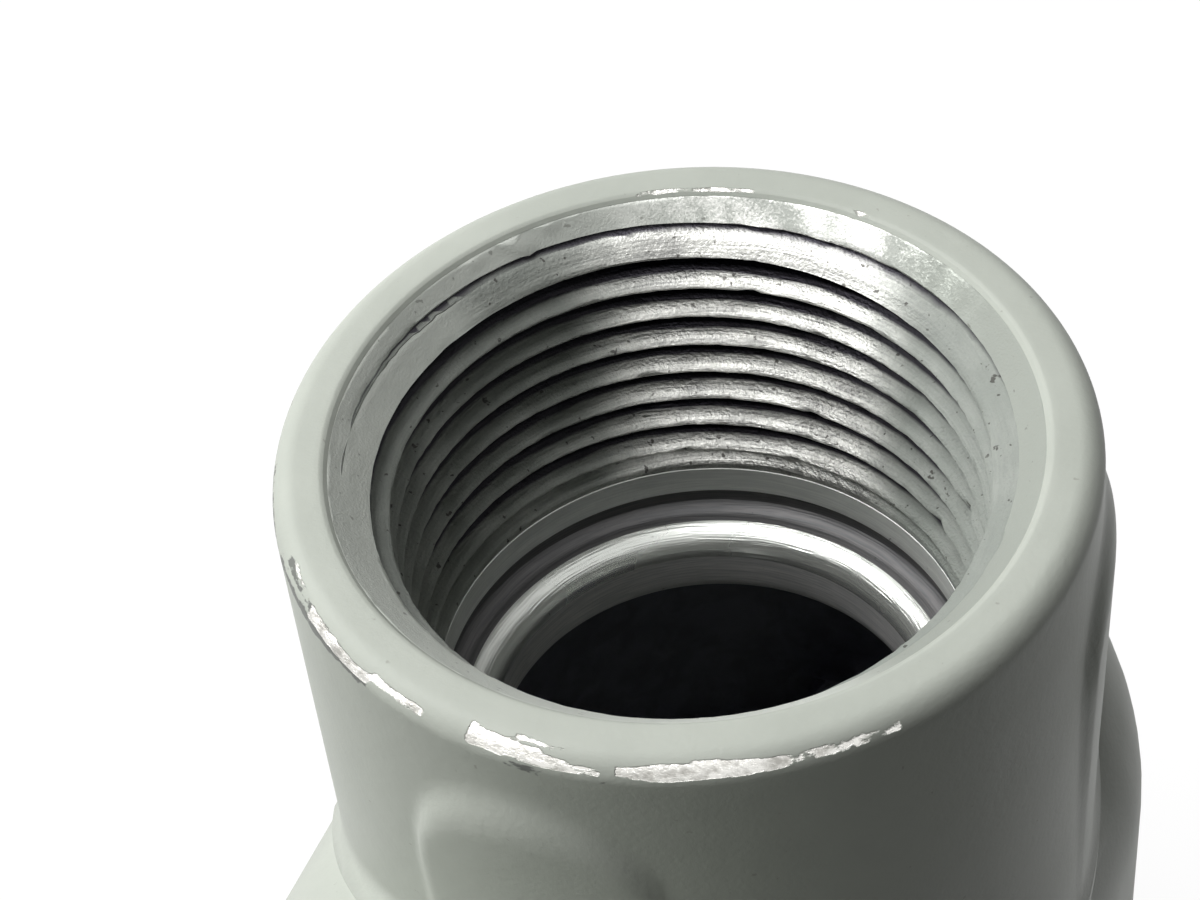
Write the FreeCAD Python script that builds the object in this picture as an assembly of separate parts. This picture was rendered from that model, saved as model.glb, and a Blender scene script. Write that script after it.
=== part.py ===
import FreeCAD, Part
import math
import os

V = FreeCAD.Vector

# Right-angle conduit body for 1-inch threaded conduit, in millimetres.
# Z = 0 is the plane the cover's raised panel rests on, +Z runs up the back hub,
# and the end hub points along -Y. The origin lies on the back hub's axis.

# ---- hubs: both are the same casting form, measured from the rim ----
hub_rim_radius = 19.95        # outer wall at the rim
hub_draft_deg = 1.7           # the outer wall widens away from the rim
hub_height = 19.5             # rim above the wall that the hub stands on
rim_round = 1.25              # rounding of the rim's outer corner
thread_radius = 16.5          # wall of the thread, at its root
mouth_flare = 0.97            # the mouth chamfer is this much wider than the thread
mouth_depth = 1.1             # depth of the mouth chamfer
thread_depth = 18.3           # rim to the end of the thread
land_radius = 14.3            # smooth land below the thread
land_depth = 20.3             # rim to the bottom of the land
shoulder_radius = 13.2        # where the bushing's rounded lip begins
shoulder_depth = 21.9         # rim to the bushing's shoulder
throat_radius = 12.1          # integral bushing
lip_round = 1.05              # rounding at both ends of the throat
throat_depth = 26.8           # rim to the inner end of the throat
collar_wall = 4.4             # wall of the bushing where it stands inside the body

# ---- raised pads on each hub ----
pad_count = 3
pad_spacing_deg = 108.0       # from the middle pad to each of the other two
pad_radius = 20.8             # outer face of the pads, parallel to the hub's axis
pad_half_width = 6.2
pad_top = 5.6                 # rim to the top of the arched face
pad_side_slope = 0.6          # run-out of the pad's sides, mm across per mm in
pad_top_slope = 3.9           # run-out of the arched top, mm of height per mm out
pad_arch_rise = 10.0          # height of the half-ellipse that tops a pad
pad_start = 2.3               # rim to where the run-out may begin

# ---- body ----
wall = 3.2
body_width = 44.8             # at the cover face
body_depth = 41.6             # cover face to the flat of the back
body_draft_deg = 1.0
back_edge_radius = 19.0       # rounding from the sides to the back
end_wall_from_axis = 84.0     # back hub's axis to the outside of the end wall
end_edge_radius = 3.0
heel_centre = 8.0             # centre of the rounded closed end, behind the back hub
end_axis_height = 21.0        # end hub's axis above the cover face

# ---- cover, gasket and screws ----
cover_thickness = 2.4
panel_height = 2.6            # raised panel, proud of the cover's edge
panel_half_width = 15.5
panel_corner = 6.0
panel_round = 1.4
panel_to_screw = 6.4          # panel's end to the screw's centre
edge_inset = 0.3              # cover and gasket stand inside the body's outline
gasket_thickness = 1.6
gasket_band = 3.6             # width of the gasket along the body's wall
end_screw_from_wall = 7.6     # outside of the end wall to the screw's centre
heel_screw_from_edge = 6.6    # outside of the closed end to the screw's centre
screw_radius = 1.95
screw_engagement = 5.0        # length of screw in the boss
tap_clearance = 0.06
tap_spare_depth = 1.0
cover_hole_clearance = 0.35
gasket_hole_clearance = 0.25
boss_wall = 2.5
boss_top_cover = 1.4          # metal above the end of the tapped hole
head_radius = 3.8
head_height = 2.1
head_round = 1.3
slot_width = 1.1
slot_depth = 1.0

# ---- working allowances ----
overrun = 1.0                 # how far a cut or a buried joint runs past the metal
tiny = 0.01                   # tells an edge on a plane from one beside it

# ---- levels and places that follow ----
cover_edge_z = panel_height
gasket_z = cover_edge_z + cover_thickness
face_z = gasket_z + gasket_thickness
back_z = face_z + body_depth
rim_z = back_z + hub_height
end_axis_z = face_z + end_axis_height
end_wall_y = -end_wall_from_axis
end_rim_y = end_wall_y - hub_height
half_width = body_width / 2
heel_y = heel_centre + half_width
end_screw_y = end_wall_y + end_screw_from_wall
heel_screw_y = heel_y - heel_screw_from_edge
tap_radius = screw_radius + tap_clearance
tap_depth = screw_engagement + tap_spare_depth
boss_radius = tap_radius + boss_wall
boss_height = tap_depth + boss_top_cover
collar_radius = throat_radius + collar_wall
mouth_radius = thread_radius + mouth_flare
skirt = hub_height + 0.8 * back_edge_radius   # back hub's wall, carried into the body
pad_root = (thread_radius + hub_rim_radius) / 2


def line(a, b):
    return Part.LineSegment(V(*a), V(*b)).toShape()


def arc(a, middle, b):
    return Part.Arc(V(*a), V(*middle), V(*b)).toShape()


def face_of(edges):
    return Part.Face(Part.Wire(edges))


def prism(outline, z_low, z_high):
    """A plan outline drawn at Z = 0, made solid between two levels."""
    solid = outline.extrude(V(0, 0, z_high - z_low))
    return solid.translated(V(0, 0, z_low))


def u_section(inset):
    """Corner points of the right half of the body's U-shaped section."""
    slant = math.radians(body_draft_deg)
    radius = back_edge_radius - inset
    base = half_width - inset
    top = back_z - inset
    centre_z = top - radius
    tangent_z = centre_z + radius * math.sin(slant)
    centre_x = base - radius * math.cos(slant) - (tangent_z - face_z) * math.tan(slant)
    tangent_x = centre_x + radius * math.cos(slant)
    middle = math.radians(45) + slant / 2
    arc_middle = (centre_x + radius * math.cos(middle), centre_z + radius * math.sin(middle))
    return base, (tangent_x, tangent_z), arc_middle, (centre_x, top)


def u_solid(inset, y_end, edge_round):
    """U-section run from the end wall to the heel, where it turns half a revolution."""
    base, tangent, arc_middle, crown = u_section(inset)

    def at(x, z):
        return (x, y_end, z)

    full = face_of([
        line(at(-base, face_z), at(base, face_z)),
        line(at(base, face_z), at(*tangent)),
        arc(at(*tangent), at(*arc_middle), at(*crown)),
        line(at(*crown), at(-crown[0], crown[1])),
        arc(at(-crown[0], crown[1]), at(-arc_middle[0], arc_middle[1]), at(-tangent[0], tangent[1])),
        line(at(-tangent[0], tangent[1]), at(-base, face_z)),
    ])
    straight = full.extrude(V(0, heel_centre - y_end, 0))
    if edge_round > 0:
        rim_edges = [e for e in straight.Edges
                     if abs(e.BoundBox.YMax - y_end) < tiny and e.BoundBox.ZMax > face_z + tiny]
        straight = straight.makeFillet(edge_round, rim_edges)
    half = face_of([
        line((0, heel_centre, face_z), (base, heel_centre, face_z)),
        line((base, heel_centre, face_z), (tangent[0], heel_centre, tangent[1])),
        arc((tangent[0], heel_centre, tangent[1]), (arc_middle[0], heel_centre, arc_middle[1]),
            (crown[0], heel_centre, crown[1])),
        line((crown[0], heel_centre, crown[1]), (0, heel_centre, crown[1])),
        line((0, heel_centre, crown[1]), (0, heel_centre, face_z)),
    ])
    heel = half.revolve(V(0, heel_centre, 0), V(0, 0, 1), 180)
    return straight.fuse(heel).removeSplitter()


def plan_outline(inset):
    """The body's outline at the cover face, taken in by an inset."""
    w = half_width - inset
    front = end_wall_y + inset
    r = end_edge_radius
    s = r * (1 - math.sqrt(0.5))
    return face_of([
        arc((w, heel_centre, 0), (0, heel_centre + w, 0), (-w, heel_centre, 0)),
        line((-w, heel_centre, 0), (-w, front + r, 0)),
        arc((-w, front + r, 0), (-w + s, front + s, 0), (-w + r, front, 0)),
        line((-w + r, front, 0), (w - r, front, 0)),
        arc((w - r, front, 0), (w - s, front + s, 0), (w, front + r, 0)),
        line((w, front + r, 0), (w, heel_centre, 0)),
    ])


def panel_outline(inset):
    """Rounded rectangle of the cover's raised panel, between the two screws."""
    w = panel_half_width - inset
    front = end_screw_y + panel_to_screw + inset
    rear = heel_screw_y - panel_to_screw - inset
    r = panel_corner - inset
    s = r * (1 - math.sqrt(0.5))
    return face_of([
        line((-w + r, front, 0), (w - r, front, 0)),
        arc((w - r, front, 0), (w - s, front + s, 0), (w, front + r, 0)),
        line((w, front + r, 0), (w, rear - r, 0)),
        arc((w, rear - r, 0), (w - s, rear - s, 0), (w - r, rear, 0)),
        line((w - r, rear, 0), (-w + r, rear, 0)),
        arc((-w + r, rear, 0), (-w + s, rear - s, 0), (-w, rear - r, 0)),
        line((-w, rear - r, 0), (-w, front + r, 0)),
        arc((-w, front + r, 0), (-w + s, front + s, 0), (-w + r, front, 0)),
    ])


def hub_shell(depth):
    """Outside of a hub with its rim at Z = 0: drafted wall, flat rim, rounded corner."""
    foot_radius = hub_rim_radius + depth * math.tan(math.radians(hub_draft_deg))
    shell = Part.makeCone(foot_radius, hub_rim_radius, depth, V(0, 0, -depth))
    rim = [e for e in shell.Edges if e.BoundBox.ZMin > -tiny and e.BoundBox.XLength > tiny]
    return shell.makeFillet(rim_round, rim)


def arch_wire(reach, half, top, bottom):
    """Half-ellipse on straight sides, facing along -Y at a reach from the hub's axis."""
    spring = top - pad_arch_rise
    crown = Part.Ellipse(V(0, -reach, top), V(-half, -reach, spring), V(0, -reach, spring))
    return Part.Wire([
        line((half, -reach, bottom), (half, -reach, spring)),
        Part.ArcOfEllipse(crown, -math.pi / 2, math.pi / 2).toShape(),
        line((-half, -reach, spring), (-half, -reach, bottom)),
        line((-half, -reach, bottom), (half, -reach, bottom)),
    ])


def hub_pad(depth):
    """Arch-topped pad whose top and sides run out onto the hub's wall."""
    side_reach = math.sqrt(pad_radius ** 2 - pad_half_width ** 2)
    wires = []
    for reach in (pad_root, pad_radius + overrun):
        half = pad_half_width + (side_reach - reach) * pad_side_slope
        top = -pad_top + (pad_radius - reach) * pad_top_slope
        wires.append(arch_wire(reach, half, top, -depth))
    block = Part.makeLoft(wires, True, True)
    ring = Part.makeCylinder(pad_radius, depth - pad_start, V(0, 0, -depth))
    return block.common(ring)


def hub_outside(depth):
    """One hub with its pads: one faces -Y and the others stand evenly to each side."""
    shell = hub_shell(depth)
    for index in range(pad_count):
        angle = (index - (pad_count - 1) / 2) * pad_spacing_deg
        pad = hub_pad(depth)
        pad.rotate(V(0, 0, 0), V(0, 0, 1), angle)
        shell = shell.fuse(pad)
    return shell


def bushing_collar():
    """The integral bushing where it stands proud inside the body."""
    return Part.makeCylinder(collar_radius, throat_depth - hub_height, V(0, 0, -throat_depth))


def hub_bore():
    """Everything cut from a hub: mouth, thread, land, rounded lip, throat."""
    below = throat_depth + overrun
    quarter = math.sqrt(0.5) * lip_round
    top_arc_x = throat_radius + lip_round
    return face_of([
        line((0, 0, overrun), (mouth_radius, 0, overrun)),
        line((mouth_radius, 0, overrun), (mouth_radius, 0, 0)),
        line((mouth_radius, 0, 0), (thread_radius, 0, -mouth_depth)),
        line((thread_radius, 0, -mouth_depth), (thread_radius, 0, -thread_depth)),
        line((thread_radius, 0, -thread_depth), (land_radius, 0, -thread_depth)),
        line((land_radius, 0, -thread_depth), (land_radius, 0, -land_depth)),
        line((land_radius, 0, -land_depth), (shoulder_radius, 0, -shoulder_depth)),
        line((shoulder_radius, 0, -shoulder_depth), (top_arc_x, 0, -shoulder_depth)),
        arc((top_arc_x, 0, -shoulder_depth),
            (top_arc_x - quarter, 0, -shoulder_depth - lip_round + quarter),
            (throat_radius, 0, -shoulder_depth - lip_round)),
        line((throat_radius, 0, -shoulder_depth - lip_round),
             (throat_radius, 0, -throat_depth + lip_round)),
        arc((throat_radius, 0, -throat_depth + lip_round),
            (top_arc_x - quarter, 0, -throat_depth + lip_round - quarter),
            (top_arc_x, 0, -throat_depth)),
        line((top_arc_x, 0, -throat_depth), (top_arc_x, 0, -below)),
        line((top_arc_x, 0, -below), (0, 0, -below)),
        line((0, 0, -below), (0, 0, overrun)),
    ]).revolve(V(0, 0, 0), V(0, 0, 1), 360)


def on_back(shape):
    """Place a hub feature at the back hub."""
    return shape.translated(V(0, 0, rim_z))


def on_end(shape):
    """Place a hub feature at the end hub, with its middle pad facing +Z."""
    placed = shape.copy()
    placed.rotate(V(0, 0, 0), V(0, 0, 1), 180)
    placed.rotate(V(0, 0, 0), V(1, 0, 0), 90)
    return placed.translated(V(0, end_rim_y, end_axis_z))


def screw_boss(y, wall_y):
    """Column for a cover screw, joined to the wall behind it."""
    column = Part.makeCylinder(boss_radius, boss_height, V(0, y, face_z))
    low, high = sorted((y, wall_y))
    web = Part.makeBox(2 * boss_radius, high - low, boss_height, V(-boss_radius, low, face_z))
    return column.fuse(web)


def make_body():
    casting = u_solid(0, end_wall_y, end_edge_radius)
    casting = casting.fuse(on_back(hub_outside(skirt)))
    casting = casting.fuse(on_end(hub_outside(hub_height + wall / 2)))
    casting = casting.cut(u_solid(wall, end_wall_y + wall, 0))
    casting = casting.fuse(on_back(bushing_collar()))
    casting = casting.fuse(on_end(bushing_collar()))
    casting = casting.fuse(screw_boss(end_screw_y, end_wall_y + wall / 2))
    casting = casting.fuse(screw_boss(heel_screw_y, heel_y - wall / 2))
    casting = casting.cut(on_back(hub_bore()))
    casting = casting.cut(on_end(hub_bore()))
    for y in (end_screw_y, heel_screw_y):
        casting = casting.cut(Part.makeCylinder(tap_radius, tap_depth, V(0, y, face_z)))
    return casting.removeSplitter()


def make_cover():
    plate = prism(plan_outline(edge_inset), cover_edge_z, gasket_z)
    panel = prism(panel_outline(0), 0, cover_edge_z + cover_thickness / 2)
    rest_edges = [e for e in panel.Edges if e.BoundBox.ZMax < tiny]
    panel = panel.makeFillet(panel_round, rest_edges)
    pocket = prism(panel_outline(cover_thickness), cover_thickness, gasket_z + overrun)
    cover = plate.fuse(panel).cut(pocket)
    hole_radius = screw_radius + cover_hole_clearance
    for y in (end_screw_y, heel_screw_y):
        hole = Part.makeCylinder(hole_radius, gasket_z + 2 * overrun, V(0, y, -overrun))
        cover = cover.cut(hole)
    return cover.removeSplitter()


def make_gasket():
    band = prism(plan_outline(edge_inset), gasket_z, face_z)
    opening = prism(plan_outline(gasket_band), gasket_z - overrun, face_z + overrun)
    tab_low = gasket_z - 2 * overrun
    tab_height = gasket_thickness + 4 * overrun
    hole_radius = screw_radius + gasket_hole_clearance
    for y, wall_y in ((end_screw_y, end_wall_y), (heel_screw_y, heel_y)):
        low, high = sorted((y, wall_y))
        tab = Part.makeBox(2 * boss_radius, high - low, tab_height, V(-boss_radius, low, tab_low))
        eye = Part.makeCylinder(boss_radius, tab_height, V(0, y, tab_low))
        opening = opening.cut(tab).cut(eye)
    gasket = band.cut(opening)
    for y in (end_screw_y, heel_screw_y):
        gasket = gasket.cut(Part.makeCylinder(hole_radius, tab_height, V(0, y, tab_low)))
    return gasket.removeSplitter()


def make_screw(y):
    """Pan-head screw, head down on the cover's edge, shank up into the boss."""
    seat = cover_edge_z
    tip = face_z + screw_engagement
    head = Part.makeCylinder(head_radius, head_height, V(0, y, seat - head_height))
    crown = [e for e in head.Edges if e.BoundBox.ZMax < seat - head_height + tiny]
    head = head.makeFillet(head_round, crown)
    reach = head_radius + overrun
    slot = Part.makeBox(2 * reach, slot_width, slot_depth + overrun,
                        V(-reach, y - slot_width / 2, seat - head_height - overrun))
    shank = Part.makeCylinder(screw_radius, tip - seat + overrun, V(0, y, seat - overrun))
    return head.fuse(shank).cut(slot).removeSplitter()


nodes = {
    "body": make_body(),
    "cover": make_cover(),
    "gasket": make_gasket(),
    "cover_screw_end": make_screw(end_screw_y),
    "cover_screw_heel": make_screw(heel_screw_y),
}

os.makedirs("parts", exist_ok=True)
for name, shape in nodes.items():
    if len(shape.Solids) != 1 or not shape.isValid():
        raise ValueError(name + " isn't one valid solid")
    shape.Solids[0].exportStep("parts/" + name + ".step")
    print(name, round(shape.Volume, 1), shape.BoundBox)
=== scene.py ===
import math

import bmesh
import bpy
from mathutils import Matrix, Vector, noise


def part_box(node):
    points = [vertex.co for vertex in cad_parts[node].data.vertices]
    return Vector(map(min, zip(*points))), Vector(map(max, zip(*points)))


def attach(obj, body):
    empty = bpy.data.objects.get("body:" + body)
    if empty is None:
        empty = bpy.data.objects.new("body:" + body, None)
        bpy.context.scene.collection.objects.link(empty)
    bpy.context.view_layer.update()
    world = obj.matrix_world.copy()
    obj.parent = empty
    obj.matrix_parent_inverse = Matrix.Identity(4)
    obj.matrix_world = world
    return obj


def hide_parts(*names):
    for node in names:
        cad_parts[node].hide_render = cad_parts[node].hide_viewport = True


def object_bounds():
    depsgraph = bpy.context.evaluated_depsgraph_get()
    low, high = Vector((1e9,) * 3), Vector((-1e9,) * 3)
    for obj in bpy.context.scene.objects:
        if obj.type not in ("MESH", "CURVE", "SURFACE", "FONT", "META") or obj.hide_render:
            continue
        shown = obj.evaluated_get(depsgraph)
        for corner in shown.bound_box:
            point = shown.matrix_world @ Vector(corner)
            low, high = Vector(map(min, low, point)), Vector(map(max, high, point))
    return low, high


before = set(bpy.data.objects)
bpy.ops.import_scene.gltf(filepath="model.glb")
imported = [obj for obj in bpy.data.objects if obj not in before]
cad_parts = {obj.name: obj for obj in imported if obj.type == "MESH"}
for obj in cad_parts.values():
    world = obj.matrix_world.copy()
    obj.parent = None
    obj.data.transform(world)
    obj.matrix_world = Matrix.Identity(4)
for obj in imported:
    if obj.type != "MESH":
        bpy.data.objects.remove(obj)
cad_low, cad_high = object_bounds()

scene = bpy.context.scene
scene.view_settings.view_transform = "Standard"
mm = 0.001

# ---- Camera ----
# A 75 mm lens close above the back hub, looking down into it from beside the long body,
# with the hub's far wall in full view.
rim_z = cad_high.z
camera_data = bpy.data.cameras.new("camera")
camera_data.lens = 75
camera_data.sensor_width = 36
camera_data.clip_start = 0.01
camera = bpy.data.objects.new("camera", camera_data)
scene.collection.objects.link(camera)
view_forward = Vector((-0.33066, 0.60153, -0.7272)).normalized()
view_up = Vector((-0.23291, 0.69471, 0.6805))
view_right = view_forward.cross(view_up).normalized()
view_up = view_right.cross(view_forward)
turn = Matrix((view_right, view_up, -view_forward)).transposed()
camera.matrix_world = turn.to_4x4()
camera.matrix_world.translation = Vector((0.0362, -0.0742, rim_z + 0.0867))
scene.camera = camera


# ---- Floor and lights ----
# A pale table under one broad lamp overhead and two at the left, with a weak one at the
# right. Almost no light comes from the front, so the walls on that side stay dark.
def join(tree, socket, value):
    """Feeds a socket from another socket, or sets it."""
    if isinstance(value, bpy.types.NodeSocket):
        tree.links.new(value, socket)
    else:
        socket.default_value = value


def put(tree, kind, inputs=None, **settings):
    """A node with its settings, and its inputs by name or number."""
    node = tree.nodes.new(kind)
    for key, value in settings.items():
        setattr(node, key, value)
    for key, value in (inputs or {}).items():
        join(tree, node.inputs[key], value)
    return node


def empty_material(name):
    """A material with only its output node."""
    material = bpy.data.materials.new(name)
    material.use_nodes = True
    tree = material.node_tree
    tree.nodes.clear()
    return material, tree, put(tree, "ShaderNodeOutputMaterial")


def seen_directly(tree):
    """1 for a camera, glossy or transmission ray, and 0 for light on its way."""
    path = put(tree, "ShaderNodeLightPath")
    either = put(tree, "ShaderNodeMath", {0: path.outputs["Is Camera Ray"],
                                          1: path.outputs["Is Glossy Ray"]}, operation="MAXIMUM")
    return put(tree, "ShaderNodeMath", {0: either.outputs[0],
                                        1: path.outputs["Is Transmission Ray"]},
               operation="MAXIMUM").outputs[0]


floor_size = 1.6
floor_mesh = bpy.data.meshes.new("floor")
bm = bmesh.new()
bmesh.ops.create_grid(bm, x_segments=1, y_segments=1, size=floor_size,
                      matrix=Matrix.Translation((0, 0, -0.05 * mm)))
bm.to_mesh(floor_mesh)
bm.free()
floor = bpy.data.objects.new("floor", floor_mesh)
scene.collection.objects.link(floor)

white_table, tree, output = empty_material("white table")
matt = put(tree, "ShaderNodeBsdfDiffuse", {"Color": (0.07, 0.07, 0.07, 1)})
white = put(tree, "ShaderNodeEmission", {"Color": (1, 1, 1, 1), "Strength": 0.96})
shadowed = put(tree, "ShaderNodeAddShader", {0: matt.outputs[0], 1: white.outputs[0]})
surface = put(tree, "ShaderNodeMixShader", {0: seen_directly(tree), 1: matt.outputs[0],
                                            2: shadowed.outputs[0]})
join(tree, output.inputs["Surface"], surface.outputs[0])
floor_mesh.materials.append(white_table)

world = bpy.data.worlds.new("studio")
world.use_nodes = True
scene.world = world
tree = world.node_tree
tree.nodes.clear()
dim = put(tree, "ShaderNodeBackground", {"Color": (1, 1, 1, 1), "Strength": 0.01})
bright = put(tree, "ShaderNodeBackground", {"Color": (1, 1, 1, 1), "Strength": 1.0})
sky = put(tree, "ShaderNodeMixShader", {0: seen_directly(tree), 1: dim.outputs[0],
                                        2: bright.outputs[0]})
output = put(tree, "ShaderNodeOutputWorld")
join(tree, output.inputs["Surface"], sky.outputs[0])

hub_mouth = Vector((0, 0, rim_z))
# Each lamp's direction from the hub, distance, width and power.
lamps = {
    "overhead": (Vector((-0.28, -0.17, 0.94)), 0.55, 0.34, 1.85),
    "left": (Vector((-0.75, 0.00, 0.66)), 0.50, 0.30, 1.60),
    "low left": (Vector((-0.80, -0.45, 0.40)), 0.50, 0.30, 0.50),
    "right": (Vector((0.80, 0.60, 0.12)), 0.60, 0.40, 0.26),
}
for name, (direction, distance, width, power) in lamps.items():
    lamp_data = bpy.data.lights.new(name, "AREA")
    lamp_data.size = width
    lamp_data.energy = power
    lamp = bpy.data.objects.new(name, lamp_data)
    scene.collection.objects.link(lamp)
    lamp.location = hub_mouth + direction.normalized() * distance
    lamp.rotation_euler = (-direction).to_track_quat("-Z", "Y").to_euler()


# ---- Casting ----
# The body is one aluminium casting with a soft grey paint: a trough with a rounded back
# and closed end, and two hubs that stand on it. It is sand cast, then the hubs are bored.
casting_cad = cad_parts["body"]
body_low, body_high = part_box("body")
face_z = body_low.z
half_width = body_high.x
back_height = 41.6 * mm
back_z = face_z + back_height
back_edge = 19.0 * mm
side_draft = math.radians(1.0)
heel_y = body_high.y - half_width
crown_half = (half_width - back_edge * math.cos(side_draft)
              - (back_height - back_edge * (1 - math.sin(side_draft))) * math.tan(side_draft))

hub_height = rim_z - back_z
end_rim_y = body_low.y
end_wall_y = end_rim_y + hub_height
end_axis_z = face_z + 21.0 * mm

rim_radius = 19.95 * mm
draft = math.tan(math.radians(1.7))
rim_round = 1.25 * mm
mouth_radius = 17.47 * mm
mouth_slope = 0.88
chamfer_top = 0.3 * mm
bore_radius = 17.42 * mm
thread_bottom = 18.3 * mm
land_radius = 14.3 * mm
land_bottom = 20.3 * mm
undercut_radius = 14.75 * mm
lip_top = 21.9 * mm
lip_round = 1.35 * mm
throat_radius = 12.1 * mm
throat_bottom = 26.85 * mm
collar_radius = 16.45 * mm

pad_spacing = math.radians(108)
pad_radius = 20.8 * mm
pad_half_width = 6.2 * mm
pad_top = 5.6 * mm
pad_side_slope = 0.6
pad_top_slope = 2.4
pad_arch_rise = 10.0 * mm

hub_steps = 288
foot_rows = 16
wall_rows = 36
wall_split = 16.0 * mm
wall_reach = 34.0 * mm
foot_sink = 1.6 * mm
foot_radius = 20.5 * mm
rim_rings = (18.3 * mm, 17.9 * mm, 17.62 * mm)


def from_spine(x, y):
    """Distance in plan from the trough's middle line, which ends at the heel's centre."""
    return abs(x) if y <= heel_y else math.hypot(x, y - heel_y)


def back_surface(x, y):
    """Height of the trough's rounded back over a point in plan."""
    out = max(from_spine(x, y) - crown_half, 0)
    return back_z - back_edge + math.sqrt(max(back_edge ** 2 - out ** 2, 0))


def soft_max(a, b, blend):
    """The larger of two lengths, with a rounded change from one to the other."""
    near = max(blend - abs(a - b), 0) / blend
    return max(a, b) + near * near * blend / 4


def soft_min(a, b, blend):
    """The smaller of two lengths, with a rounded change from one to the other."""
    return -soft_max(-a, -b, blend)


def ease(low, high, value):
    """0 below low, 1 above high, and smooth between."""
    t = min(max((value - low) / (high - low), 0), 1)
    return t * t * (3 - 2 * t)


def pad_surface(bearing, depth):
    """Reach of the raised pad whose middle lies at bearing 0."""
    side_reach = math.sqrt(pad_radius ** 2 - pad_half_width ** 2)
    cos, sin = math.cos(bearing), abs(math.sin(bearing))
    side = (side_reach + pad_half_width / pad_side_slope) / (cos + sin / pad_side_slope)
    across = min(pad_radius * sin / (pad_half_width + 0.3 * mm), 1)
    drop = pad_arch_rise * (1 - math.sqrt(1 - across ** 2))
    top = (pad_radius + (depth - pad_top - drop) / pad_top_slope) / cos
    return soft_min(soft_min(pad_radius, side, 0.35 * mm), top, 0.5 * mm)


def wall_radius(bearing, depth):
    """Outside of a hub: a drafted wall with three pads."""
    radius = rim_radius + depth * draft
    for turn_by in (-pad_spacing, 0, pad_spacing):
        off = (bearing - turn_by + math.pi) % (2 * math.pi) - math.pi
        if abs(off) < math.radians(40):
            radius = soft_max(radius, pad_surface(off, depth), 0.3 * mm)
    return radius


def hub_section():
    """Radius and height, from the foot up the outside, over the rim and down the bore."""
    points = []
    for i in range(foot_rows):
        points.append((rim_radius, -wall_reach + (wall_reach - wall_split) * i / foot_rows))
    for i in range(wall_rows):
        points.append((rim_radius, -wall_split + (wall_split - rim_round) * i / wall_rows))
    for i in range(13):
        a = math.radians(90 * i / 12)
        points.append((rim_radius - rim_round * (1 - math.cos(a)),
                       -rim_round * (1 - math.sin(a))))
    for radius in rim_rings:
        points.append((radius, 0))
    points.append((mouth_radius + 0.04 * mm, -0.02 * mm))
    for depth in (0.12 * mm, chamfer_top):
        points.append((mouth_radius - depth * mouth_slope, -depth))
    points.append((bore_radius, -chamfer_top - 0.02 * mm))
    points.append((bore_radius, -thread_bottom))
    points.append((land_radius + 0.12 * mm, -thread_bottom))
    points.append((land_radius, -thread_bottom - 0.12 * mm))
    points.append((land_radius, -19.2 * mm))
    points.append((land_radius, -land_bottom + 0.1 * mm))
    points.append((land_radius + 0.08 * mm, -land_bottom))
    points.append((undercut_radius, -land_bottom - 0.25 * mm))
    points.append((undercut_radius - 0.1 * mm, -lip_top + 0.5 * mm))
    points.append((undercut_radius - 0.6 * mm, -lip_top))
    centre = throat_radius + lip_round
    for i in range(9):
        a = math.radians(90 * i / 8)
        points.append((centre + 0.35 * mm * (1 - i / 8) - lip_round * math.sin(a),
                       -lip_top - lip_round * (1 - math.cos(a))))
    points.append((throat_radius, -lip_top - lip_round * 1.2))
    points.append((throat_radius, -24.4 * mm))
    for i in range(5):
        a = math.radians(90 * i / 4)
        points.append((centre - lip_round * math.cos(a),
                       -throat_bottom + lip_round * (1 - math.sin(a))))
    points.append((collar_radius, -throat_bottom))
    points.append((collar_radius, -wall_reach))
    return points


def window(low, high, soft, value):
    """1 between two values, easing to 0 outside them."""
    return ease(low - soft, low, value) * (1 - ease(high, high + soft, value))


# Strokes that knocked the paint off the rim's outer corner. Each has its first and last
# bearing, then place across the corner and half width at both ends in mm, and an amount.
rim_wear = [(-47, -37, 0.75, 1.00, 0.10, 0.10, 0.50), (-50, -40, 1.30, 1.45, 0.10, 0.12, 0.42),
            (-38, -24, 1.25, 1.40, 0.38, 0.22, 0.62), (-23, -14, 1.05, 1.15, 0.20, 0.15, 0.48),
            (-6.5, 11.5, 0.95, 1.35, 0.58, 0.16, 0.74), (0, 11, 0.45, 0.65, 0.10, 0.12, 0.46),
            (13.5, 24, 1.20, 1.05, 0.22, 0.42, 0.70), (24, 36, 1.05, 1.20, 0.42, 0.22, 0.64),
            (37, 50, 1.15, 1.35, 0.30, 0.20, 0.44)]
rim_rubs = [(-66, -53, 1.60, 2.00, 0.50, 0.40, 0.58), (-50, -24, 1.80, 1.75, 0.28, 0.18, 0.58),
            (-48, -36, 0.95, 1.15, 0.16, 0.16, 0.50), (-4, 14, 1.75, 1.80, 0.16, 0.12, 0.44)]
mouth_wear = [(-172, -142, 0.44), (-160, -154, 0.56), (-128, -120, 0.40), (150, 170, 0.30)]


def stroke(marks, bearing, across):
    """How hard a list of strokes has worn one place on the rim."""
    worn = 0
    for first, last, start, end, wide, narrow, amount in marks:
        if first - 2 < bearing < last + 2:
            share = min(max((bearing - first) / (last - first), 0), 1)
            off = abs(across - (start + (end - start) * share) * mm)
            half = (wide + (narrow - wide) * share) * mm
            inside = 1 - ease(half * 0.6, half + 0.25 * mm, off)
            worn = max(worn, amount * inside * window(first, last, 1.5, bearing))
    return worn


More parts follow.
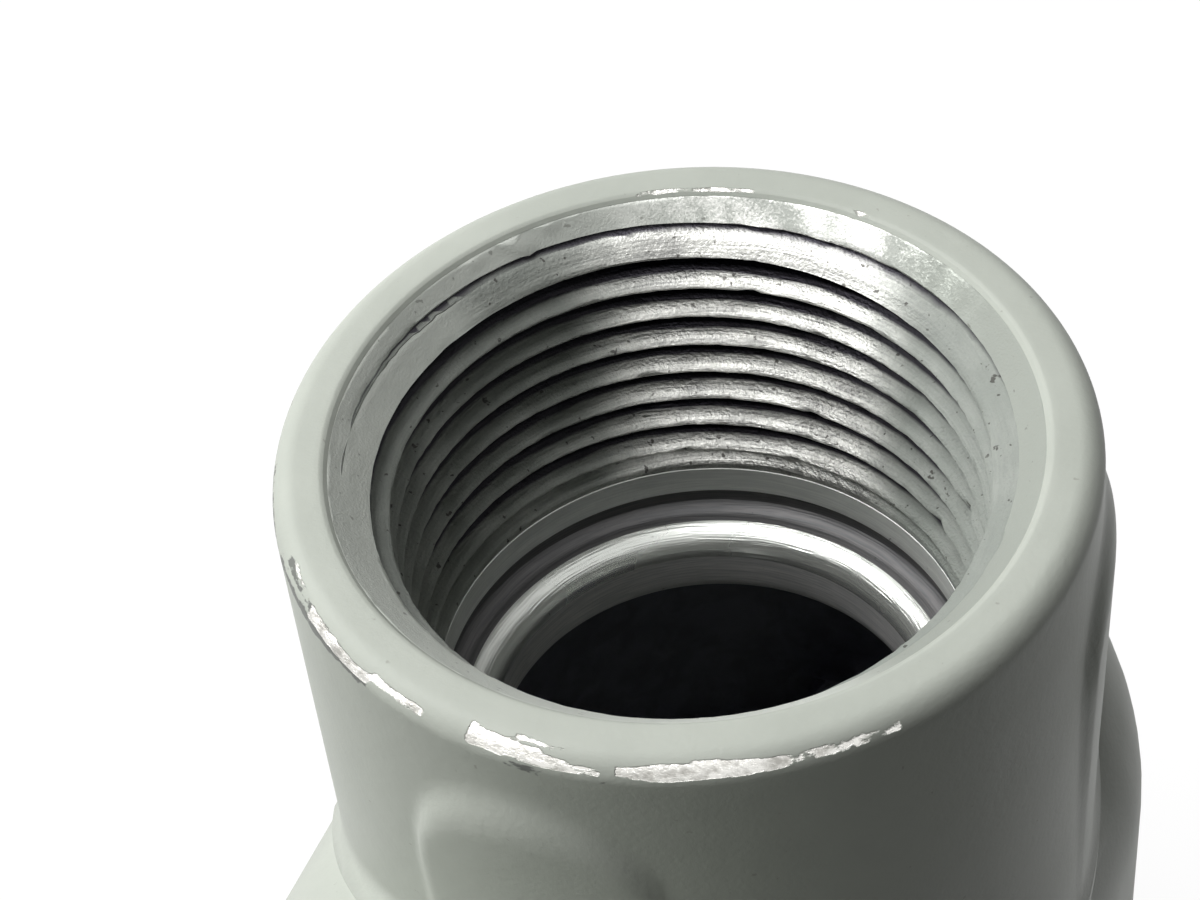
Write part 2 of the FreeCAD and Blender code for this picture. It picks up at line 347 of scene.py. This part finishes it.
def paint_wear(bearing, depth, radius):
    """How far the paint is knocked off, and how far it is rubbed dark."""
    bearing = math.degrees(bearing)
    if radius < 18 * mm:
        edge = window(17.34 * mm, 17.54 * mm, 0.15 * mm, radius) if depth < 0.4 * mm else 0
        worn = [amount * window(low, high, 5.0, bearing) for low, high, amount in mouth_wear]
        return max(worn) * edge, 0
    if depth < rim_round:
        across = rim_round * (math.pi / 2 - math.asin(1 - depth / rim_round))
        across = max(across, 0.01 * mm)
        across += min(radius - (rim_radius - rim_round), 0)
    else:
        across = rim_round * math.pi / 2 + depth - rim_round
    return stroke(rim_wear, bearing, across), stroke(rim_rubs, bearing, across)


def spin_round(bm, verts, edges, eighths, steps, rise):
    """Spins a profile round the Z axis an eighth of a turn, and repeats that arc."""
    before = set(bm.verts) - set(verts)
    bmesh.ops.spin(bm, geom=verts + edges, cent=(0, 0, 0), axis=(0, 0, 1),
                   dvec=(0, 0, rise / steps), angle=math.pi / 4, steps=steps)
    arc = [face for vert in bm.verts if vert not in before for face in vert.link_faces]
    arc = list(dict.fromkeys(arc))
    for i in range(1, eighths):
        copied = bmesh.ops.duplicate(bm, geom=arc)["geom"]
        moved = [item for item in copied if isinstance(item, bmesh.types.BMVert)]
        bmesh.ops.rotate(bm, verts=moved, cent=(0, 0, 0),
                         matrix=Matrix.Rotation(i * math.pi / 4, 3, "Z"))
        bmesh.ops.translate(bm, verts=moved, vec=(0, 0, i * rise))
    new = [vert for vert in bm.verts if vert not in before]
    bmesh.ops.remove_doubles(bm, verts=new, dist=0.001 * mm)
    return [vert for vert in bm.verts if vert not in before]


def add_hub(bm, place, foot_depth, foot_fillet, wear):
    """Spins a hub's section, raises its pads and brings its foot down to the trough."""
    section = hub_section()
    verts = [bm.verts.new((0, -radius, height)) for radius, height in section]
    edges = [bm.edges.new(pair) for pair in zip(verts, verts[1:] + verts[:1])]
    hub = spin_round(bm, verts, edges, 8, hub_steps // 8, 0)
    faces = {face for vert in hub for face in vert.link_faces}
    for vert in hub:
        x, y, z = vert.co
        radius, depth, bearing = math.hypot(x, y), -z, math.atan2(x, -y)
        away = Vector((math.sin(bearing), -math.cos(bearing), 0))
        if radius > rim_radius - 0.01 * mm:
            foot, flat = foot_depth(away * foot_radius)
            if depth > wall_split:
                share = (depth - wall_split) / (wall_reach - wall_split)
                depth = wall_split + share * (foot + foot_sink - wall_split)
            above = max(1 - max(foot - depth, 0) / foot_fillet, 0)
            flare = foot_fillet * flat * (1 - math.sqrt(1 - above ** 2))
            radius = wall_radius(bearing, depth) + flare
        elif depth > wall_reach - 0.01 * mm:
            foot, flat = foot_depth(away * collar_radius)
            depth = max(min(foot + foot_sink, throat_bottom), 21.0 * mm)
        elif depth < rim_round and radius > 18.4 * mm:
            lean = (radius - 18.7 * mm) / rim_round
            radius += max(lean, 0) * (wall_radius(bearing, depth) - rim_radius)
        vert.co = away * radius + Vector((0, 0, -depth))
        bare, rub = paint_wear(bearing, depth, radius)
        vert[bm.verts.layers.float["bare"]] = bare * wear
        vert[bm.verts.layers.float["rubbed"]] = rub * wear
        vert[bm.verts.layers.float_vector["turned"]] = (radius, depth, 0)
    for face in faces:
        centre = face.calc_center_median()
        radius, depth = math.hypot(centre.x, centre.y), -centre.z
        if radius < mouth_radius and chamfer_top < depth < throat_bottom + 1 * mm:
            face.material_index = zone_at(radius, depth)
    bmesh.ops.transform(bm, matrix=place, verts=hub)


def zone_at(radius, depth):
    """Number of the material at a place in the bore."""
    if depth < 1.6 * mm:
        return 1
    if depth < land_bottom + 0.06 * mm and radius < land_radius + 0.5 * mm:
        return 2
    if depth < lip_top + 0.02 * mm or radius > throat_radius + lip_round + 0.15 * mm:
        return 3
    return 4 if depth < lip_top + lip_round * 1.15 else 5


def back_foot(point):
    """Depth of the back below the rim at a point of the back hub's wall, and its flatness."""
    height = back_surface(point.x, point.y)
    lean = min(max(from_spine(point.x, point.y) - crown_half, 0) / back_edge, 1)
    return rim_z - height, max(1 - lean, 0) ** 0.6


def end_foot(point):
    """The same for the end hub, which stands on a flat wall."""
    return hub_height, 0.2


back_place = Matrix.Translation((0, 0, rim_z))
end_place = (Matrix.Translation((0, end_rim_y, end_axis_z))
             @ Matrix.Rotation(math.radians(90), 4, "X")
             @ Matrix.Rotation(math.radians(180), 4, "Z"))

# The trough is the solid's own surface. Its plain hubs shrink to stubs inside the new ones.
bm = bmesh.new()
bm.from_mesh(casting_cad.data)
bmesh.ops.remove_doubles(bm, verts=bm.verts[:], dist=0.002 * mm)
bm.verts.layers.float.new("bare")
bm.verts.layers.float.new("rubbed")
bm.verts.layers.float_vector.new("turned")
skin = 1.6 * mm
stub = 0.3 * mm
bore_push = 1.6 * mm
# Faces on the trough's inside take material 6, coloured dark as painted shade.
for face in bm.faces:
    x, y, z = face.calc_center_median()
    if (from_spine(x, y) < half_width - skin and y > end_wall_y + skin
            and face_z + 0.1 * mm < z < back_surface(x, y) - skin):
        face.material_index = 6
for vert in bm.verts:
    for place in (back_place, end_place):
        local = place.inverted() @ vert.co
        radius, depth = math.hypot(local.x, local.y), -local.z
        if radius > 21.2 * mm or depth > throat_bottom + 0.01 * mm:
            continue
        away = Vector((local.x, local.y, 0)).normalized()
        if place is back_place:
            surface = rim_z - back_surface(vert.co.x, vert.co.y)
        else:
            surface = hub_height
        if radius > 17.6 * mm:
            if depth < surface - 0.02 * mm:
                radius -= 0.5 * mm
                depth = surface - stub
        elif depth < 19.4 * mm or radius < 13.3 * mm or (radius < 16.3 * mm and depth < 24 * mm):
            radius += bore_push
            depth = max(depth, surface - stub)
        else:
            continue
        vert.co = place @ (away * radius + Vector((0, 0, -depth)))
        break
trough_faces = set(bm.faces)
add_hub(bm, back_place, back_foot, 1.5 * mm, 1.0)
add_hub(bm, end_place, end_foot, 0.5 * mm, 0.6)
hub_faces = [face for face in bm.faces if face not in trough_faces]
bmesh.ops.recalc_face_normals(bm, faces=hub_faces)
casting_mesh = bpy.data.meshes.new("casting")
bm.to_mesh(casting_mesh)
bm.free()
casting = bpy.data.objects.new("casting", casting_mesh)
scene.collection.objects.link(casting)
for polygon in casting_mesh.polygons:
    polygon.use_smooth = True
casting_mesh.set_sharp_from_angle(angle=math.radians(32))
casting_normals = casting.modifiers.new("even shading", "WEIGHTED_NORMAL")
casting_normals.keep_sharp = True
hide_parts("body")
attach(casting, "root")


# Finishes of the casting: paint outside, and bare bored metal in the hubs, with painted shade in
# the undercut and inside the trough, and painted light on the land.
def new_group(name, inputs, outputs):
    """A shader group with named number sockets, and its two end nodes."""
    group = bpy.data.node_groups.new(name, "ShaderNodeTree")
    for label, kind, value in inputs:
        socket = group.interface.new_socket(label, in_out="INPUT", socket_type=kind)
        socket.default_value = value
    for label, kind in outputs:
        group.interface.new_socket(label, in_out="OUTPUT", socket_type=kind)
    return group, put(group, "NodeGroupInput"), put(group, "NodeGroupOutput")


def mixed(tree, factor, first, second):
    """A colour between two others."""
    node = put(tree, "ShaderNodeMix", data_type="RGBA")
    join(tree, node.inputs[0], factor)
    join(tree, node.inputs[6], first)
    join(tree, node.inputs[7], second)
    return node.outputs[2]


def blended(tree, factor, first, second):
    """A number between two others."""
    node = put(tree, "ShaderNodeMix", data_type="FLOAT")
    join(tree, node.inputs[0], factor)
    join(tree, node.inputs[2], first)
    join(tree, node.inputs[3], second)
    return node.outputs[0]


def sums(tree, operation, *values):
    """A Math node's result."""
    return put(tree, "ShaderNodeMath", dict(enumerate(values)), operation=operation).outputs[0]


def spread(tree, value, low, high, new_low=0.0, new_high=1.0):
    """A value stretched from one range to another, and held inside it."""
    return put(tree, "ShaderNodeMapRange", {0: value, 1: low, 2: high, 3: new_low,
                                            4: new_high}).outputs[0]


cast_grain, start, end = new_group(
    "cast grain",
    [("Grain per metre", "NodeSocketFloat", 2600.0), ("Speck limit", "NodeSocketFloat", 0.74)],
    [("Height", "NodeSocketFloat"), ("Mottle", "NodeSocketFloat"), ("Speck", "NodeSocketFloat")])
place = put(cast_grain, "ShaderNodeTexCoord").outputs["Object"]
fine = put(cast_grain, "ShaderNodeTexNoise",
           {"Vector": place, "Scale": start.outputs[0], "Detail": 3.0, "Roughness": 0.6})
wide = put(cast_grain, "ShaderNodeTexNoise",
           {"Vector": place, "Scale": 420.0, "Detail": 3.0, "Roughness": 0.5})
cloud = put(cast_grain, "ShaderNodeTexNoise",
            {"Vector": place, "Scale": 95.0, "Detail": 4.0, "Roughness": 0.6})
height = sums(cast_grain, "MULTIPLY_ADD", wide.outputs[0], 1.6, fine.outputs[0])
join(cast_grain, end.inputs[0], height)
join(cast_grain, end.inputs[1], spread(cast_grain, cloud.outputs[0], 0.3, 0.7))
dots = put(cast_grain, "ShaderNodeTexNoise",
           {"Vector": place, "Scale": 1900.0, "Detail": 2.0, "Roughness": 0.5})
past = sums(cast_grain, "SUBTRACT", dots.outputs[0], start.outputs[1])
join(cast_grain, end.inputs[2], spread(cast_grain, past, 0.0, 0.04))

worn_through, start, end = new_group(
    "worn through",
    [("Amount", "NodeSocketFloat", 0.0), ("Patches per metre", "NodeSocketFloat", 700.0)],
    [("Mask", "NodeSocketFloat"), ("Patch", "NodeSocketFloat")])
place = put(worn_through, "ShaderNodeTexCoord").outputs["Object"]
drawn = put(worn_through, "ShaderNodeMapping", {"Vector": place, "Scale": (0.45, 0.8, 1.0)})
patch = put(worn_through, "ShaderNodeTexNoise",
            {"Vector": drawn.outputs[0], "Scale": start.outputs[1], "Detail": 7.0,
             "Roughness": 0.66})
rough_edge = sums(worn_through, "MULTIPLY_ADD", patch.outputs[0], 1.5, -0.25)
reached = sums(worn_through, "ADD", rough_edge, start.outputs[0])
join(worn_through, end.inputs[0], spread(worn_through, reached, 0.93, 1.01))
join(worn_through, end.inputs[1], spread(worn_through, patch.outputs[0], 0.36, 0.58))

ring_marks, start, end = new_group(
    "ring marks",
    [("Rings per metre", "NodeSocketFloat", 9000.0)],
    [("Height", "NodeSocketFloat"), ("Streak", "NodeSocketFloat")])
turned = put(ring_marks, "ShaderNodeAttribute", attribute_name="turned").outputs["Vector"]
place = put(ring_marks, "ShaderNodeTexCoord").outputs["Object"]
drift = put(ring_marks, "ShaderNodeTexNoise", {"Vector": place, "Scale": 160.0, "Detail": 2.0})
nudge = put(ring_marks, "ShaderNodeVectorMath", {0: drift.outputs[1], "Scale": 0.0006},
            operation="SCALE")
lay = put(ring_marks, "ShaderNodeVectorMath", {0: turned, 1: nudge.outputs[0]}, operation="ADD")
ring = put(ring_marks, "ShaderNodeTexNoise",
           {"Vector": lay.outputs[0], "Scale": start.outputs[0], "Detail": 2.0})
join(ring_marks, end.inputs[0], ring.outputs[0])
join(ring_marks, end.inputs[1], spread(ring_marks, ring.outputs[0], 0.35, 0.65))


def use_group(tree, group, values=None):
    """A node that holds a shader group, with the inputs that differ from its own."""
    return put(tree, "ShaderNodeGroup", values, node_tree=group)


def attribute(tree, name):
    """A number stored on the mesh."""
    return put(tree, "ShaderNodeAttribute", attribute_name=name).outputs["Fac"]


def bumped(tree, height, distance):
    """A normal that follows a height."""
    return put(tree, "ShaderNodeBump", {"Strength": 1.0, "Distance": distance,
                                        "Height": height}).outputs[0]


paint_colour = (0.575, 0.605, 0.545, 1)
paint_shade = (0.505, 0.535, 0.480, 1)
bare_colour = (0.84, 0.83, 0.79, 1)
bare_shade = (0.42, 0.41, 0.38, 1)


def grey_paint(name):
    """Soft grey paint on cast metal, worn to the metal where the mesh says so."""
    material, tree, output = empty_material(name)
    grain = use_group(tree, cast_grain)
    bare = use_group(tree, worn_through, {0: attribute(tree, "bare"), 1: 620.0}).outputs[0]
    rub = use_group(tree, worn_through, {0: attribute(tree, "rubbed"), 1: 1500.0}).outputs[0]
    skin = mixed(tree, grain.outputs["Mottle"], paint_shade, paint_colour)
    skin = mixed(tree, sums(tree, "MULTIPLY", grain.outputs["Speck"], 0.35), skin,
                 (0.22, 0.20, 0.17, 1))
    skin = mixed(tree, sums(tree, "MULTIPLY", rub, 0.75), skin, (0.10, 0.10, 0.10, 1))
    scrape = use_group(tree, worn_through, {0: 0.38, 1: 1900.0})
    polish = mixed(tree, scrape.outputs["Patch"], bare_shade, bare_colour)
    colour = mixed(tree, bare, skin, polish)
    rough = blended(tree, bare, spread(tree, grain.outputs["Mottle"], 0, 1, 0.40, 0.48),
                    spread(tree, scrape.outputs["Patch"], 0, 1, 0.42, 0.24))
    worn_level = sums(tree, "MULTIPLY_ADD", scrape.outputs["Patch"], 1.6, -2.4)
    lift = blended(tree, bare, grain.outputs["Height"], worn_level)
    metal = put(tree, "ShaderNodeBsdfPrincipled",
                {"Base Color": colour, "Metallic": bare, "Roughness": rough,
                 "Specular IOR Level": 0.15, "Normal": bumped(tree, lift, 0.022 * mm)})
    join(tree, output.inputs["Surface"], metal.outputs[0])
    return material


def bored_metal(name, tone, shade, rough, metallic, coarse):
    """Bare metal cut by a turning tool, with rings round the bore and a fine grain."""
    material, tree, output = empty_material(name)
    rings = use_group(tree, ring_marks)
    grain = use_group(tree, cast_grain, {0: 4200.0})
    colour = mixed(tree, rings.outputs["Streak"], shade, tone)
    colour = mixed(tree, sums(tree, "MULTIPLY", grain.outputs["Speck"], 0.5), colour,
                   (0.05, 0.05, 0.05, 1))
    lift = blended(tree, coarse, rings.outputs["Height"], grain.outputs["Height"])
    rough = spread(tree, grain.outputs["Mottle"], 0, 1, rough - 0.05, rough + 0.05)
    metal = put(tree, "ShaderNodeBsdfPrincipled",
                {"Base Color": colour, "Metallic": metallic, "Roughness": rough,
                 "Normal": bumped(tree, lift, 0.03 * mm)})
    join(tree, output.inputs["Surface"], metal.outputs[0])
    return material


casting_mesh.materials.append(grey_paint("casting paint"))
casting_mesh.materials.append(bored_metal("mouth edge", (0.50, 0.52, 0.48, 1),
                                          (0.38, 0.40, 0.37, 1), 0.42, 0.55, 0.9))
# The land is bare bored metal, coloured much lighter than its own tone: painted light, for light
# that hardly reaches this deep in the bore.
casting_mesh.materials.append(bored_metal("land", (0.90, 0.92, 0.88, 1),
                                          (0.76, 0.78, 0.75, 1), 0.42, 0.45, 0.6))
# The undercut is coloured dark: painted shade in the recess below the land.
casting_mesh.materials.append(bored_metal("undercut", (0.17, 0.165, 0.165, 1),
                                          (0.12, 0.122, 0.125, 1), 0.42, 0.3, 0.3))
casting_mesh.materials.append(bored_metal("bushing lip", (0.78, 0.80, 0.76, 1),
                                          (0.70, 0.72, 0.68, 1), 0.26, 0.75, 0.10))
casting_mesh.materials.append(bored_metal("bushing", (0.62, 0.61, 0.60, 1),
                                          (0.44, 0.445, 0.445, 1), 0.45, 0.20, 0.3))
# The trough's inside is coloured dark bluish grey: painted shade inside the closed box.
casting_mesh.materials.append(bored_metal("inside", (0.140, 0.140, 0.185, 1),
                                          (0.100, 0.100, 0.130, 1), 0.50, 0.1, 1.0))


# ---- Threads ----
# Each hub is cut with a 1-inch tapered pipe thread of 60 degree form, narrowing by 1 in 32
# on the radius. It starts in the chamfer and runs out at the land. Its turns lie 2.033 mm
# apart, to agree with the depths used here, where the trade's thread has 2.209 mm.
thread_pitch = 2.033 * mm
thread_height = 1.77 * mm
thread_root = 16.63 * mm
thread_taper = 1 / 32
thread_back = 17.40 * mm
thread_start = 0.32 * mm
turn_steps = 216
form_steps = 12
crest_flat = 0.12
start_bearing = 298
first_groove = 0.98 * mm
runout_top = 16.9 * mm
runout_bottom = 18.0 * mm


def thread_form(share):
    """Height of the thread's form over one pitch, from 0 at the root to 1 at the crest."""
    flank = (1 - 2 * crest_flat) / 2
    from_crest = abs(share - 0.5)
    if from_crest < crest_flat / 2:
        return 1.0
    return max(1 - (from_crest - crest_flat / 2) / (flank + crest_flat / 2), 0)


# Knocks on the crests: bearing and depth of each, its size and how far it is pushed in.
crest_knocks = [(-171, 2.9, 0.7, 0.30), (-171, 5.0, 0.6, 0.25), (163, 5.6, 0.9, 0.35),
                (-118, 3.4, 0.8, 0.25), (-96, 5.2, 0.6, 0.20), (150, 8.6, 0.8, 0.25),
                (-140, 9.4, 0.6, 0.22), (128, 11.0, 0.9, 0.30), (176, 13.2, 0.7, 0.22),
                (-160, 15.4, 0.6, 0.20), (140, 15.0, 0.8, 0.25)]


# Burrs of paint on the chamfer: bearing, depth, size and height.
mouth_burrs = [(-127, 0.66, 0.62, 0.26), (-133, 0.42, 0.40, 0.14), (-139, 0.45, 0.30, 0.12),
               (-118, 0.46, 0.35, 0.12)]


def cut_thread():
    """A liner for one hub: the cut thread and chamfer, closed behind against the casting."""
    bm = bmesh.new()
    crest_of = bm.verts.layers.float.new("crest")
    mist_of = bm.verts.layers.float.new("mist")
    dull_of = bm.verts.layers.float.new("dull")
    painted_highlight_of = bm.verts.layers.float.new("painted_highlight")
    torn_of = bm.verts.layers.float.new("torn")
    skin_of = bm.verts.layers.float.new("skin")
    outer_of = bm.verts.layers.float.new("outer")
    turned_of = bm.verts.layers.float_vector.new("turned")
    turns = math.ceil((thread_bottom - thread_start) / thread_pitch) + 2
    verts = []
    for i in range(form_steps + 1):
        share = i / form_steps
        verts.append(bm.verts.new((0, -thread_root + thread_form(share) * thread_height,
                                   -thread_bottom + (share - 1.3) * thread_pitch)))
    edges = [bm.edges.new(pair) for pair in zip(verts, verts[1:])]
    spin_round(bm, verts, edges, 8 * turns, turn_steps // 8, thread_pitch / 8)
    for depth, side in ((thread_start, 1), (thread_bottom, -1)):
        bmesh.ops.bisect_plane(bm, geom=bm.verts[:] + bm.edges[:] + bm.faces[:],
                               dist=0.0001 * mm, plane_co=(0, 0, -depth),
                               plane_no=(0, 0, side), clear_outer=True)
    for vert in bm.verts:
        x, y, z = vert.co
        radius, depth, bearing = math.hypot(x, y), -z, math.atan2(x, -y)
        away = Vector((math.sin(bearing), -math.cos(bearing), 0))
        crest = (thread_root - radius) / thread_height
        root = thread_root - depth * thread_taper
        knock = 0
        for at, deep, size, push in crest_knocks:
            if abs(depth - deep * mm) < size * mm:
                swing = (bearing - math.radians(at) + math.pi) % (2 * math.pi) - math.pi
                gap = math.hypot(swing * radius, depth - deep * mm)
                knock = max(knock, push * mm * (1 - ease(0, size * mm, gap)))
        rough = noise.noise(Vector((x, y, z)) * 900) * 0.045 * mm
        rough += noise.noise(Vector((x, y, z)) * 2600) * 0.045 * mm
        radius = root - crest * thread_height + knock * crest + rough * crest
        radius = radius + (land_radius - radius) * ease(runout_top, runout_bottom, depth)
        crest += (1 - crest) * ease(runout_top, runout_top + 0.6 * mm, depth)
        cone = mouth_radius - depth * mouth_slope + rough * 0.5
        radius += rough * 1.6 * (1 - ease(2.0 * mm, 2.8 * mm, depth))
        for at, deep, size, height in mouth_burrs:
            swing = bearing - math.radians(at)
            gap = math.hypot(swing * radius + (depth - deep * mm) * 0.8, (depth - deep * mm) * 0.7)
            cone -= height * mm * (1 - ease(0.2 * size * mm, size * mm, gap))
        degrees = math.degrees(bearing)
        from_start = (start_bearing - degrees) % 360
        groove_depth = first_groove + from_start / 360 * thread_pitch
        vert[skin_of] = min(max((cone - radius) / (0.1 * mm), -1), 1)
        outer = min(max((groove_depth - depth) / (0.2 * mm), -1), 1)
        vert[outer_of] = max(outer, 1 - 2 * ease(20, 80, from_start))
        if cone > radius:
            radius, crest = cone, 1
        # Near the mouth the crest value is raised, so the painted root shade is lighter in the
        # first groove.
        crest += (1 - crest) * 0.5 * (1 - ease(2.3 * mm, 3.1 * mm, depth))
        radius = min(radius, thread_back - 0.06 * mm)
        vert.co = away * radius + Vector((0, 0, -depth))
        mist = 0.95 * window(48, 150, 20, degrees) + 0.85 * window(-128, -30, 26, degrees)
        back = abs((degrees - 178 + 180) % 360 - 180)
        # Painted highlight: the chamfer is coloured lighter round bearing 178, its far side.
        vert[painted_highlight_of] = 1 - ease(12, 46, back)
        vert[crest_of] = crest
        vert[mist_of] = mist
        vert[dull_of] = window(60, 150, 20, degrees)
        vert[torn_of] = window(96, 170, 20, degrees) * ease(4 * mm, 10 * mm, depth)
        vert[turned_of] = (radius, depth, 0)
    for level in (-thread_start, -thread_bottom):
        rim = [edge for edge in bm.edges if edge.is_boundary
               and all(abs(vert.co.z - level) < 0.01 * mm for vert in edge.verts)]
        grown = bmesh.ops.extrude_edge_only(bm, edges=rim)["geom"]
        for item in grown:
            if isinstance(item, bmesh.types.BMVert):
                flat = Vector((item.co.x, item.co.y, 0)).normalized() * thread_back
                item.co.x, item.co.y = flat.x, flat.y
    loops = [edge for edge in bm.edges if edge.is_boundary]
    bmesh.ops.bridge_loops(bm, edges=loops)
    bmesh.ops.remove_doubles(bm, verts=bm.verts[:], dist=0.0005 * mm)
    bmesh.ops.recalc_face_normals(bm, faces=bm.faces[:])
    for face in bm.faces:
        face.smooth = True
    mesh = bpy.data.meshes.new("thread")
    bm.to_mesh(mesh)
    bm.free()
    mesh.set_sharp_from_angle(angle=math.radians(50))
    return mesh


thread_metal, tree, output = empty_material("cut metal")
grain = use_group(tree, cast_grain, {0: 5200.0, 1: 0.685})
sand = use_group(tree, cast_grain, {0: 7000.0, 1: 0.70})
rings = use_group(tree, ring_marks, {0: 7000.0})
crest = attribute(tree, "crest")
painted_highlight = attribute(tree, "painted_highlight")
torn = attribute(tree, "torn")
mist = sums(tree, "MULTIPLY", attribute(tree, "mist"),
            spread(tree, grain.outputs["Mottle"], 0.0, 0.6, 0.75, 1.0))
streaks = sums(tree, "MULTIPLY_ADD", spread(tree, sand.outputs["Height"], 1.0, 1.6), 0.6,
               sums(tree, "MULTIPLY", rings.outputs["Streak"], 0.4))
cut_tone = mixed(tree, streaks, (0.30, 0.30, 0.29, 1), (0.88, 0.88, 0.83, 1))
cut_tone = mixed(tree, mist, cut_tone, (0.31, 0.335, 0.305, 1))
cut_tone = mixed(tree, sums(tree, "MULTIPLY", grain.outputs["Speck"], 0.8), cut_tone,
                 (0.05, 0.045, 0.04, 1))
# The roots are coloured black and dark purple-grey by crest height: painted shade in the grooves,
# under each crest.
painted_root_shade = mixed(tree, spread(tree, crest, 0.38, 0.46), (0.004, 0.004, 0.006, 1),
                  (0.056, 0.053, 0.064, 1))
ragged_root_shade = sums(tree, "MULTIPLY_ADD", sand.outputs["Mottle"], 0.16, crest)
cut_tone = mixed(tree, spread(tree, ragged_root_shade, 0.61, 0.70), painted_root_shade, cut_tone)
cut_lift = sums(tree, "MULTIPLY_ADD", grain.outputs["Height"],
                spread(tree, torn, 0, 1, 2.0, 3.6), rings.outputs["Height"])

# The chamfer above the first groove is grainy, with a thin mist of paint on most of it. Its far
# side is coloured near white: a painted highlight.
# This patch on the chamfer's far side is a painted highlight, coloured near white and made
# shinier.
bright = sums(tree, "MULTIPLY", painted_highlight, spread(tree, sand.outputs["Height"], 1.15, 1.5))
cone_tone = mixed(tree, sand.outputs["Mottle"], (0.62, 0.65, 0.60, 1), (0.74, 0.77, 0.71, 1))
cone_tone = mixed(tree, bright, cone_tone, (0.86, 0.86, 0.82, 1))
dull = spread(tree, attribute(tree, "dull"), 0, 1, 0.0, 0.9)
cone_tone = mixed(tree, dull, cone_tone, (0.36, 0.385, 0.345, 1))
cone_tone = mixed(tree, sums(tree, "MULTIPLY", sand.outputs["Speck"], 0.5), cone_tone,
                  (0.12, 0.115, 0.10, 1))
chamfer = sums(tree, "MULTIPLY", spread(tree, attribute(tree, "skin"), -0.1, 0.1),
               spread(tree, attribute(tree, "outer"), -0.2, 0.2))
metallic = blended(tree, chamfer, spread(tree, mist, 0, 0.8, 0.92, 0.05),
                   sums(tree, "MULTIPLY", bright, 0.9))
rough = blended(tree, chamfer, spread(tree, mist, 0, 1, 0.36, 0.62),
                spread(tree, bright, 0, 1, 0.52, 0.30))
lift = blended(tree, chamfer, cut_lift, sand.outputs["Height"])
metal = put(tree, "ShaderNodeBsdfPrincipled",
            {"Base Color": mixed(tree, chamfer, cut_tone, cone_tone), "Metallic": metallic,
             "Roughness": rough, "Specular IOR Level": 0.2,
             "Normal": bumped(tree, lift, 0.035 * mm)})
join(tree, output.inputs["Surface"], metal.outputs[0])
thread_mesh = cut_thread()
thread_mesh.materials.append(thread_metal)
for name, place in (("back_thread", back_place), ("end_thread", end_place)):
    mesh = thread_mesh.copy()
    mesh.transform(place)
    thread = bpy.data.objects.new(name, mesh)
    scene.collection.objects.link(thread)
    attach(thread, "root")


# ---- Cover ----
# A cast aluminium cover with a raised panel, painted as the body is. Two screws pull it up
# against the gasket.
def softened(name, node, edge, sharp_degrees):
    """A copy of a solid with its sharp edges rounded."""
    bm = bmesh.new()
    bm.from_mesh(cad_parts[node].data)
    bmesh.ops.remove_doubles(bm, verts=bm.verts[:], dist=0.002 * mm)
    bmesh.ops.dissolve_limit(bm, angle_limit=math.radians(1), verts=bm.verts[:],
                             edges=bm.edges[:])
    sharp = [e for e in bm.edges if e.is_manifold
             and e.calc_face_angle(0) > math.radians(sharp_degrees)]
    bmesh.ops.bevel(bm, geom=sharp, offset=edge, segments=3, profile=0.5, affect="EDGES",
                    material=-1, clamp_overlap=True)
    bmesh.ops.recalc_face_normals(bm, faces=bm.faces[:])
    for face in bm.faces:
        face.smooth = True
    mesh = bpy.data.meshes.new(name)
    bm.to_mesh(mesh)
    bm.free()
    mesh.set_sharp_from_angle(angle=math.radians(30))
    piece = bpy.data.objects.new(name, mesh)
    scene.collection.objects.link(piece)
    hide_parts(node)
    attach(piece, "root")
    return piece


cover = softened("cover_casting", "cover", 0.35 * mm, 35)
cover.data.materials.append(grey_paint("cover paint"))


# ---- Gasket ----
# A flat ring cut from black rubber sheet. It lies between the body and the cover and is
# squeezed by the cover's two screws.
rubber, tree, output = empty_material("gasket rubber")
grain = use_group(tree, cast_grain, {0: 1800.0})
colour = mixed(tree, grain.outputs["Mottle"], (0.018, 0.018, 0.019, 1), (0.035, 0.035, 0.035, 1))
soft = put(tree, "ShaderNodeBsdfPrincipled",
           {"Base Color": colour, "Roughness": 0.75,
            "Normal": bumped(tree, grain.outputs["Height"], 0.02 * mm)})
join(tree, output.inputs["Surface"], soft.outputs[0])
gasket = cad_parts["gasket"]
gasket.data.materials.clear()
gasket.data.materials.append(rubber)


# ---- Cover screws ----
# Two slotted pan-head steel screws, zinc plated. They go up through the cover and the
# gasket into the bosses at both ends of the body.
zinc, tree, output = empty_material("zinc plate")
grain = use_group(tree, cast_grain, {0: 5000.0})
colour = mixed(tree, grain.outputs["Mottle"], (0.50, 0.50, 0.49, 1), (0.66, 0.66, 0.64, 1))
plate = put(tree, "ShaderNodeBsdfPrincipled",
            {"Base Color": colour, "Metallic": 1.0,
             "Roughness": spread(tree, grain.outputs["Mottle"], 0, 1, 0.26, 0.38),
             "Normal": bumped(tree, grain.outputs["Height"], 0.008 * mm)})
join(tree, output.inputs["Surface"], plate.outputs[0])
for node in ("cover_screw_end", "cover_screw_heel"):
    screw = softened(node + "_plated", node, 0.1 * mm, 35)
    screw.data.materials.append(zinc)
